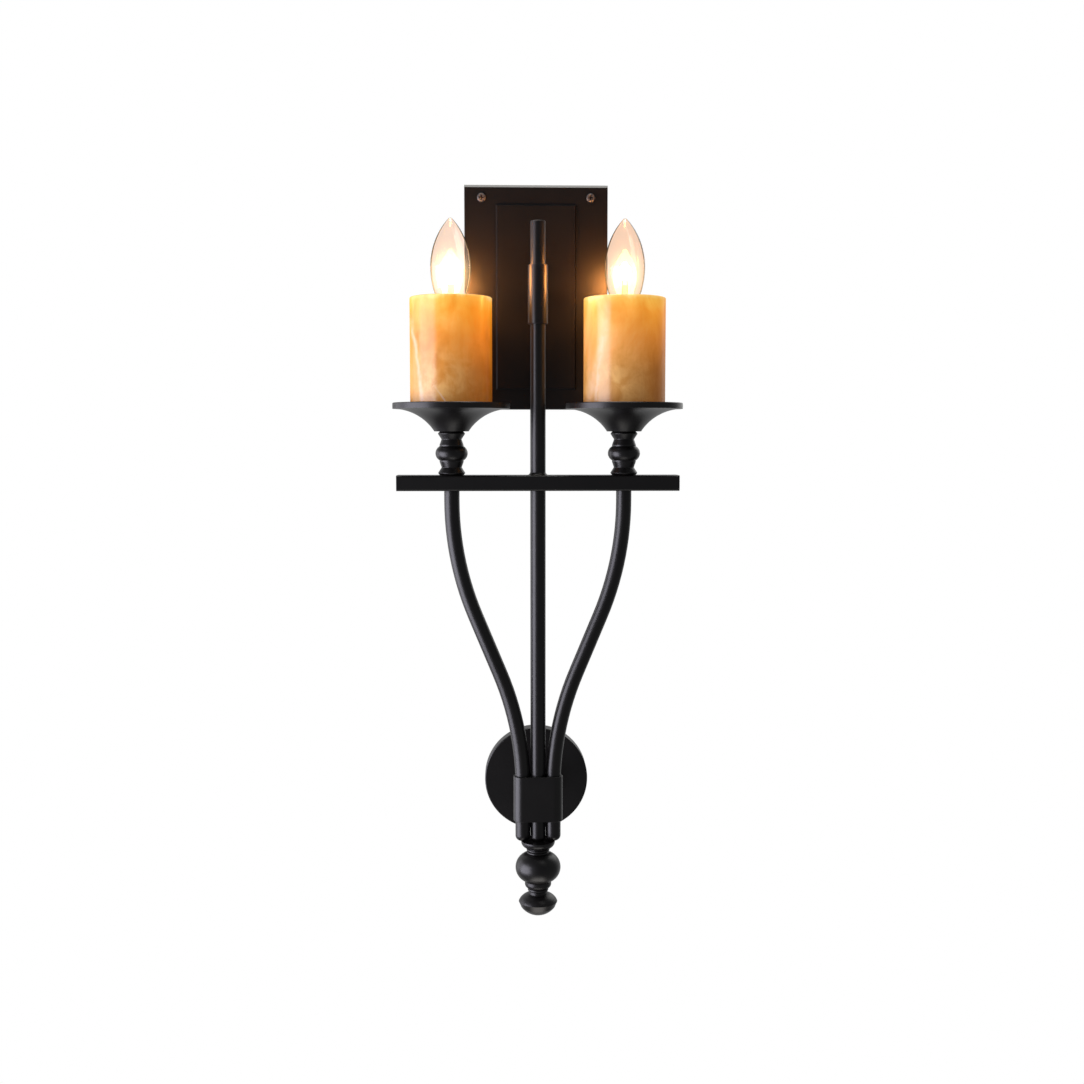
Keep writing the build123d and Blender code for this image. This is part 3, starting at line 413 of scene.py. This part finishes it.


# Honey onyx: soft clouds, fine upright streaks and a few leaning veins, with a painted glow (emission) for
# the lamp's light shining through from inside
onyx = {
    "tilt": (0.0, 0.22, 0.5), "stretch": (1.0, 1.0, 0.55), "cloud": (40.0, 5.0, 0.55, 0.5),
    "streakStretch": (1.0, 1.0, 0.12), "streak": (190.0, 6.0, 0.6, 0.5), "streakShow": 0.7,
    "streaks": [(0.36, (0.90, 0.87, 0.82)), (0.62, (1, 1, 1))],
    # a pale mottle low on the front and back
    "mottle": (0.90, 0.64, 0.25), "mottleShow": 0.62, "speck": (62.0, 5.0, 0.58, 0.3),
    "speckRange": (0.40, 0.66), "mottleDepth": (0.030, 0.075), "mottleCentre": -0.003,
    "mottleReach": (0.012, 0.032), "mottleBeside": 0.15,
    # veins wander with a slow noise and are broken up by a finer one
    "vein": (0.90, 0.77, 0.60), "veinFade": 0.025, "wave": 0.010, "waveNoise": (38.0, 4.0, 0.55),
    "breakNoise": (85.0, 3.0), "breakRange": (0.30, 0.62), "breakLeast": 0.45,
    # the painted glow runs from dull at the foot to bright at the rim
    "glow": 0.85, "drift": 0.016, "toneShow": 0.8, "tone": [(0.30, (0.86, 0.79, 0.66)), (0.60, (1, 1, 1))],
    "paintedGlowRamp": [(0.0, (0.155, 0.048, 0.003)), (0.30, (0.26, 0.078, 0.004)), (0.62, (0.60, 0.175, 0.007)),
             (0.86, (0.92, 0.32, 0.014)), (0.96, (1.0, 0.50, 0.06)), (1.0, (1.0, 0.74, 0.26))],
    # the polish outside, the duller bore and rim
    "roughness": 0.24, "ior": 1.5, "sheen": 0.075, "bump": (0.04, 0.0003),
    "wall": 0.006, "rimFade": 0.0052, "boreShow": 0.8, "bore": (0.38, 0.31, 0.26),
    "boreGlow": (0.36, 0.42, 0.78),
    # painted shade: the stone is darker towards the right, the side away from the softbox
    "paintedShadeColour": (0.44, 0.125, 0.008), "paintedShadeReach": (0.002, 0.032),
    # a vein has its place across at the top, lean, width, strength and how far down it starts
    "left": {
        "paintedShadeShow": 0.62,
        "body": [(0.32, (0.49, 0.185, 0.029)), (0.50, (0.62, 0.285, 0.062)), (0.70, (0.70, 0.40, 0.130))],
        "veins": [
            {"across": -0.0350, "lean": 0.125, "width": 0.0029, "show": 0.46, "start": 0.010},
            {"across": -0.0690, "lean": 0.73, "width": 0.0017, "show": 1.1, "start": 0.072},
        ],
    },
    "right": {
        "paintedShadeShow": 0.40,
        "body": [(0.32, (0.52, 0.255, 0.066)), (0.50, (0.61, 0.355, 0.112)), (0.70, (0.69, 0.47, 0.205))],
        "veins": [
            {"across": -0.0152, "lean": -0.17, "width": 0.0055, "show": 0.40, "start": 0.0},
            {"across": -0.0167, "lean": -0.118, "width": 0.0017, "show": 0.75, "start": 0.046},
        ],
    },
}


def addVein(tree, across, depth, wave, vein, fade):
    course = addMath(tree, "MULTIPLY_ADD", depth, vein["lean"], vein["across"])
    wandered = addMath(tree, "ADD", addMath(tree, "SUBTRACT", across, course), wave)
    line = addRange(tree, addMath(tree, "ABSOLUTE", wandered), 0.0, vein["width"], vein["show"], 0.0)
    return addMath(tree, "MULTIPLY", line, addRange(tree, depth, vein["start"], vein["start"] + fade))


# Colour of the polished outside: clouds, painted shade on one side, mottle, veins, streaks
def addStone(tree, place, cloud, streak, across, depth, spec, side):
    colour = addRamp(tree, cloud, side["body"])
    # painted shade towards the right of each sleeve
    paintedShade = addRange(tree, across, *spec["paintedShadeReach"], 0.0, side["paintedShadeShow"])
    colour = addMix(tree, paintedShade, colour, spec["paintedShadeColour"])
    speckNoise = addNoise(tree, place, *spec["speck"])
    speck = addRange(tree, speckNoise, *spec["speckRange"], 0.0, spec["mottleShow"])
    aside = addMath(tree, "ABSOLUTE", addMath(tree, "SUBTRACT", across, spec["mottleCentre"]))
    beside = addRange(tree, aside, *spec["mottleReach"], 1.0, spec["mottleBeside"])
    patch = addMath(tree, "MULTIPLY", addRange(tree, depth, *spec["mottleDepth"]), beside)
    colour = addMix(tree, addMath(tree, "MULTIPLY", speck, patch), colour, spec["mottle"])
    waveNoise = addNoise(tree, place, *spec["waveNoise"])
    wave = addMath(tree, "MULTIPLY_ADD", waveNoise, spec["wave"], -spec["wave"] / 2)
    breakNoise = addNoise(tree, place, *spec["breakNoise"])
    broken = addRange(tree, breakNoise, *spec["breakRange"], spec["breakLeast"], 1.0)
    for vein in side["veins"]:
        line = addVein(tree, across, depth, wave, vein, spec["veinFade"])
        colour = addMix(tree, addMath(tree, "MULTIPLY", line, broken), colour, spec["vein"])
    return addMix(tree, spec["streakShow"], colour, addRamp(tree, streak, spec["streaks"]), "MULTIPLY")


def makeOnyx(hand, spec):
    lo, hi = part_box(hand + "_candle_sleeve")
    material, tree, output = startMaterial(hand + "Onyx")
    place = objectPlace(tree)
    placeX, placeY, placeZ = splitVector(tree, place)
    across = addMath(tree, "SUBTRACT", placeX, (lo[0] + hi[0]) / 2)
    forth = addMath(tree, "SUBTRACT", placeY, (lo[1] + hi[1]) / 2)
    depth = addMath(tree, "SUBTRACT", hi[2], placeZ)
    cloud = addNoise(tree, addMapping(tree, place, spec["tilt"], spec["stretch"]), *spec["cloud"])
    streak = addNoise(tree, addMapping(tree, place, (0, 0, 0), spec["streakStretch"]), *spec["streak"])
    colour = addStone(tree, place, cloud, streak, across, depth, spec, spec[hand])

    # The unpolished bore and rim are duller than the outside, because the lamp stands close to them
    square = addMath(tree, "MULTIPLY_ADD", forth, forth, addMath(tree, "MULTIPLY", across, across))
    boreRadius = (hi[1] - lo[1]) / 2 - spec["wall"]
    rimRadius = boreRadius + spec["rimFade"]
    bore = addRange(tree, addMath(tree, "SQRT", square), boreRadius, rimRadius, spec["boreShow"], 0.0)
    colour = addMix(tree, bore, colour, spec["bore"])

    # Painted glow: emission that stands in for the lamp's light through the stone, stronger towards the rim
    shift = spec["drift"] / 2
    drifted = addMath(tree, "MULTIPLY_ADD", cloud, spec["drift"], placeZ)
    level = addRange(tree, drifted, lo[2] + shift, hi[2] + shift, kind="LINEAR")
    paintedGlowRamp = addRamp(tree, level, spec["paintedGlowRamp"])
    glow = addMix(tree, spec["toneShow"], paintedGlowRamp, addRamp(tree, cloud, spec["tone"]), "MULTIPLY")
    # the painted glow is turned down in the bore and rim
    glow = addMix(tree, bore, glow, spec["boreGlow"], "MULTIPLY")

    # The polish is a layer of its own, so that the sleeve's edges don't wash out against the white surround
    shader = addNode(tree, "ShaderNodeBsdfPrincipled", sockets={
        "Specular IOR Level": 0.0, "Emission Strength": spec["glow"]})
    polish = addNode(tree, "ShaderNodeBsdfGlossy", sockets={
        "Color": (1, 1, 1, 1), "Roughness": spec["roughness"]})
    mirror = addNode(tree, "ShaderNodeFresnel", sockets={"IOR": spec["ior"]})
    tree.links.new(colour, shader.inputs["Base Color"])
    tree.links.new(glow, shader.inputs["Emission Color"])
    bump = addBump(tree, streak, *spec["bump"])
    for node in (shader, polish, mirror):
        tree.links.new(bump, node.inputs["Normal"])
    sheen = addMath(tree, "MINIMUM", mirror.outputs[0], spec["sheen"])
    tree.links.new(mixShaders(tree, sheen, shader, polish), output.inputs["Surface"])
    return material


for hand in hands:
    wear(makeOnyx(hand, onyx), [hand + "_candle_sleeve"])
print("stage: onyx")


# Lamps: a clear envelope whose inside glows round the filament. The arcs are those of the solid.
lamp = {
    # heights are above the cap's rim, and the shoulder starts at an angle in degrees
    "radius": 0.0175, "belly": 0.0349, "tip": 0.0766, "tipRadius": 0.0026, "lower": 0.075,
    "shoulder": 0.016, "shoulderStart": 16.0, "neckBend": 0.005, "neck": 0.0064, "neckInCap": 0.0028,
    "sides": 72, "tipSteps": 6, "upperSteps": 22, "lowerSteps": 10, "shoulderSteps": 8, "neckSteps": 6,
    # the light it gives and the glow inside
    "colour": (1.0, 0.42, 0.11), "power": 0.56, "softSize": 0.014,
    "bloom": {"left": 200.0, "right": 115.0}, "bloomColour": (1.0, 0.78, 0.42),
    "bloomReach": (0.001, 0.030), "bloomFall": 3.1, "bloomSink": 0.004, "bloomStretch": 1.2,
    # the glass
    "tint": {"left": (1.0, 0.87, 0.78), "right": (1.0, 0.83, 0.71)},
    "film": (70.0, 3.0), "roughness": 0.02, "spread": 0.05, "edgeIor": 1.07, "glassIor": 1.45, "sheen": 0.05,
}
mountGlass = {"tint": (1.0, 0.94, 0.72), "film": (200.0, 3.0), "roughness": 0.04, "spread": 0.1, "ior": 1.25}
filament = {"dull": (1.0, 0.62, 0.26), "bright": (1.0, 0.80, 0.50), "mottle": (900.0, 2.0), "strength": 40.0}
onAxis = 1e-7  # a profile point this close to the axis is a single vertex


def arcPoints(centre, radius, start, end, count):
    points = []
    for step in range(count):
        angle = math.radians(start + (end - start) * step / count)
        points.append((centre[0] + radius * math.cos(angle), centre[1] + radius * math.sin(angle)))
    return points


def bulbProfile(spec):
    tipY = spec["tip"] - spec["tipRadius"]
    rise = tipY - spec["belly"]
    upper = rise ** 2 + spec["radius"] ** 2 - spec["tipRadius"] ** 2
    upper /= 2 * (spec["radius"] - spec["tipRadius"])
    upperX = spec["radius"] - upper
    tipAngle = math.degrees(math.atan2(rise, -upperX))
    lowerX = spec["radius"] - spec["lower"]
    begin = math.radians(spec["shoulderStart"])
    reach = spec["lower"] - spec["shoulder"]
    shoulder = (lowerX + reach * math.cos(begin), spec["belly"] - reach * math.sin(begin))
    neckReach = spec["shoulder"] + spec["neckBend"]
    turn = math.acos((spec["neck"] + spec["neckBend"] - shoulder[0]) / neckReach)
    neck = (shoulder[0] + neckReach * math.cos(turn), shoulder[1] - neckReach * math.sin(turn))
    turned = math.degrees(turn)
    points = arcPoints((0, tipY), spec["tipRadius"], 90, tipAngle, spec["tipSteps"])
    points += arcPoints((upperX, spec["belly"]), upper, tipAngle, 0, spec["upperSteps"])
    points += arcPoints((lowerX, spec["belly"]), spec["lower"], 0, -spec["shoulderStart"], spec["lowerSteps"])
    points += arcPoints(shoulder, spec["shoulder"], -spec["shoulderStart"], -turned, spec["shoulderSteps"])
    points += arcPoints(neck, spec["neckBend"], 180 - turned, 180, spec["neckSteps"])
    points += [(spec["neck"], neck[1]), (spec["neck"], -spec["neckInCap"]), (0, -spec["neckInCap"])]
    return points


def turnMesh(name, profile, axisX, axisY, baseZ, sides):
    vertices = []
    rings = []
    for radius, height in profile:
        if abs(radius) < onAxis:
            rings.append([len(vertices)])
            vertices.append((axisX, axisY, baseZ + height))
            continue
        rings.append(list(range(len(vertices), len(vertices) + sides)))
        for step in range(sides):
            angle = 2 * math.pi * step / sides
            across, forth = radius * math.cos(angle), radius * math.sin(angle)
            vertices.append((axisX + across, axisY + forth, baseZ + height))
    faces = []
    for above, below in zip(rings, rings[1:]):
        for step in range(sides):
            after = (step + 1) % sides
            if len(above) == 1:
                faces.append((above[0], below[step], below[after]))
            elif len(below) == 1:
                faces.append((above[step], below[0], above[after]))
            else:
                faces.append((above[step], below[step], below[after], above[after]))
    mesh = bpy.data.meshes.new(name)
    mesh.from_pydata(vertices, [], faces)
    mesh.shade_smooth()
    piece = bpy.data.objects.new(name, mesh)
    bpy.context.collection.objects.link(piece)
    return piece


def addGlass(tree, place, tint, film, roughness, spread):
    clear = addNode(tree, "ShaderNodeBsdfTransparent", sockets={"Color": (*tint, 1)})
    gloss = addNode(tree, "ShaderNodeBsdfGlossy", sockets={"Color": (1, 1, 1, 1)})
    rough = addMath(tree, "MULTIPLY_ADD", addNoise(tree, place, *film), spread, roughness)
    tree.links.new(rough, gloss.inputs["Roughness"])
    return clear, gloss


def makeEnvelope(hand, spec, heart):
    material, tree, output = startMaterial(hand + "Envelope")
    place = objectPlace(tree)
    clear, gloss = addGlass(tree, place, spec["tint"][hand], spec["film"], spec["roughness"], spec["spread"])
    edge = addNode(tree, "ShaderNodeFresnel", sockets={"IOR": spec["edgeIor"]})
    mirror = addNode(tree, "ShaderNodeFresnel", sockets={"IOR": spec["glassIor"]})
    sheen = addMath(tree, "MINIMUM", mirror.outputs[0], spec["sheen"])
    shown = addMath(tree, "MAXIMUM", sheen, edge.outputs[0])
    tree.links.new(mixShaders(tree, shown, clear, gloss), output.inputs["Surface"])
    stretch = spec["bloomStretch"]
    squeezed = addMapping(tree, place, (0, 0, 0), (1, 1, 1 / stretch))
    away = addNode(tree, "ShaderNodeVectorMath", {"operation": "DISTANCE"}, {
        1: (heart[0], heart[1], (heart[2] - spec["bloomSink"]) / stretch)})
    tree.links.new(squeezed, away.inputs[0])
    spread = addRange(tree, away.outputs["Value"], *spec["bloomReach"], 1.0, 0.0, kind="LINEAR")
    near = addMath(tree, "POWER", spread, spec["bloomFall"])
    gas = addNode(tree, "ShaderNodeEmission", sockets={"Color": (*spec["bloomColour"], 1)})
    tree.links.new(addMath(tree, "MULTIPLY", near, spec["bloom"][hand]), gas.inputs["Strength"])
    tree.links.new(gas.outputs[0], output.inputs["Volume"])
    return material


def makeMountGlass(spec):
    material, tree, output = startMaterial("mountGlass")
    place = objectPlace(tree)
    clear, gloss = addGlass(tree, place, spec["tint"], spec["film"], spec["roughness"], spec["spread"])
    edge = addNode(tree, "ShaderNodeFresnel", sockets={"IOR": spec["ior"]})
    tree.links.new(mixShaders(tree, edge.outputs[0], clear, gloss), output.inputs["Surface"])
    return material


def makeFilament(spec):
    material, tree, output = startMaterial("litFilament")
    hot = addNoise(tree, objectPlace(tree), *spec["mottle"])
    shader = addNode(tree, "ShaderNodeEmission", sockets={"Strength": spec["strength"]})
    tree.links.new(addMix(tree, hot, spec["dull"], spec["bright"]), shader.inputs["Color"])
    tree.links.new(shader.outputs[0], output.inputs["Surface"])
    return material


def addLampLight(hand, spec, heart):
    data = bpy.data.lights.new(hand + "LampLight", "POINT")
    data.energy = spec["power"]
    data.color = spec["colour"]
    data.shadow_soft_size = spec["softSize"]
    light = bpy.data.objects.new(hand + "LampLight", data)
    bpy.context.collection.objects.link(light)
    light.location = heart


wear(makeFilament(filament), ["left_filament", "right_filament"])
wear(makeMountGlass(mountGlass), ["left_bulb_mount", "right_bulb_mount"])
for hand in hands:
    lo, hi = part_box(hand + "_filament")
    heart = [(lo[axis] + hi[axis]) / 2 for axis in range(3)]
    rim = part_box(hand + "_bulb_cap")[1][2]
    envelope = turnMesh(hand + "Envelope", bulbProfile(lamp), heart[0], heart[1], rim, lamp["sides"])
    envelope.data.materials.append(makeEnvelope(hand, lamp, heart))
    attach(envelope, hand + "_bulb")
    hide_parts(hand + "_bulb_glass")
    addLampLight(hand, lamp, heart)
print("stage: lamps")


# Camera: fitted to the photo's plate, dishes and disc. The focal length is given in picture widths.
view = {"place": (-0.030, -1.211, -0.1254), "pitch": 4.76, "yaw": 1.70, "focal": 1285 / 1084, "sensor": 36}
cameraData = bpy.data.cameras.new("camera")
cameraData.sensor_width = view["sensor"]
cameraData.lens = view["sensor"] * view["focal"]
camera = bpy.data.objects.new("camera", cameraData)
bpy.context.collection.objects.link(camera)
camera.location = view["place"]
camera.rotation_euler = Euler((math.radians(90 - view["pitch"]), 0, math.radians(-view["yaw"])))
bpy.context.scene.camera = camera
print("stage: camera")


# Lights: a low softbox and a wing on the left, weaker panels above, behind and below
panels = {
    "softbox": {"place": (-1.22, -0.55, -0.45), "target": (0, -0.08, -0.25), "size": (1.3, 1.3),
                "power": 32.0, "colour": (0.89, 0.87, 1.0)},
    "wing": {"place": (-1.45, 0.55, -0.35), "target": (0, -0.08, -0.25), "size": (1.0, 1.3),
             "power": 5.8, "colour": (0.93, 0.91, 1.0)},
    "overhead": {"place": (0.0, 0.2, 1.1), "target": (0, 0.0, 0.0), "size": (0.7, 0.7),
                 "power": 9.2, "colour": (1.0, 0.98, 0.93)},
    "strip": {"place": (0.52, -0.66, 1.12), "target": (0, -0.08, 0.02), "size": (0.16, 1.0),
              "power": 1.0, "colour": (1.0, 0.98, 0.96)},
    "rear": {"place": (0.95, 1.25, 0.45), "target": (0, 0.0, -0.2), "size": (1.2, 1.2),
             "power": 4.0, "colour": (1.0, 0.99, 0.97)},
    "below": {"place": (0.0, -0.58, -1.5), "target": (0, -0.08, -0.5), "size": (0.8, 0.8),
              "power": 2.1, "colour": (1.0, 0.97, 0.94)},
    "floor": {"place": (0.0, -0.12, -0.655), "target": (0, -0.08, -0.55), "size": (0.12, 0.12),
              "power": 0.065, "colour": (1.0, 0.95, 0.90)},
}


def addPanel(name, place, target, size, power, colour):
    data = bpy.data.lights.new(name, "AREA")
    data.shape = "RECTANGLE"
    data.size, data.size_y = size
    data.energy = power
    data.color = colour
    panel = bpy.data.objects.new(name, data)
    bpy.context.collection.objects.link(panel)
    panel.location = place
    direction = Vector(target) - Vector(place)
    panel.rotation_euler = direction.to_track_quat("-Z", "Y").to_euler()


for name, spec in panels.items():
    addPanel(name, **spec)

# Surround: white to the eye, dim in the room in front, a pale backdrop behind for grazing reflections
surround = {"dim": 0.12, "dimColour": (0.92, 0.95, 1.0), "backdrop": 0.50, "turn": (0.1, 0.7),
            "flank": 0.09, "flankTurn": (0.2, 0.9)}


def makeSurround(spec):
    world = bpy.data.worlds.new("surround")
    world.use_nodes = True
    tree = world.node_tree
    tree.nodes.clear()
    output = tree.nodes.new("ShaderNodeOutputWorld")
    path = tree.nodes.new("ShaderNodeLightPath")
    direction = addNode(tree, "ShaderNodeTexCoord").outputs["Generated"]
    sideways, backwards = splitVector(tree, direction)[:2]
    behind = addRange(tree, backwards, *spec["turn"], 0.0, spec["backdrop"])
    beside = addRange(tree, sideways, *spec["flankTurn"], 0.0, spec["flank"])
    pale = addMath(tree, "MAXIMUM", behind, beside)
    mirrored = addMath(tree, "MULTIPLY", pale, path.outputs["Is Glossy Ray"])
    seen = addMath(tree, "MAXIMUM", path.outputs["Is Camera Ray"], path.outputs["Is Transmission Ray"])
    white = addNode(tree, "ShaderNodeBackground", sockets={"Color": (1, 1, 1, 1), "Strength": 1.0})
    dim = addNode(tree, "ShaderNodeBackground", sockets={
        "Color": (*spec["dimColour"], 1), "Strength": spec["dim"]})
    shown = addMath(tree, "MAXIMUM", seen, mirrored)
    tree.links.new(mixShaders(tree, shown, dim, white), output.inputs["Surface"])
    return world


bpy.context.scene.world = makeSurround(surround)
bpy.context.scene.view_settings.view_transform = "Standard"
print("stage: lights")
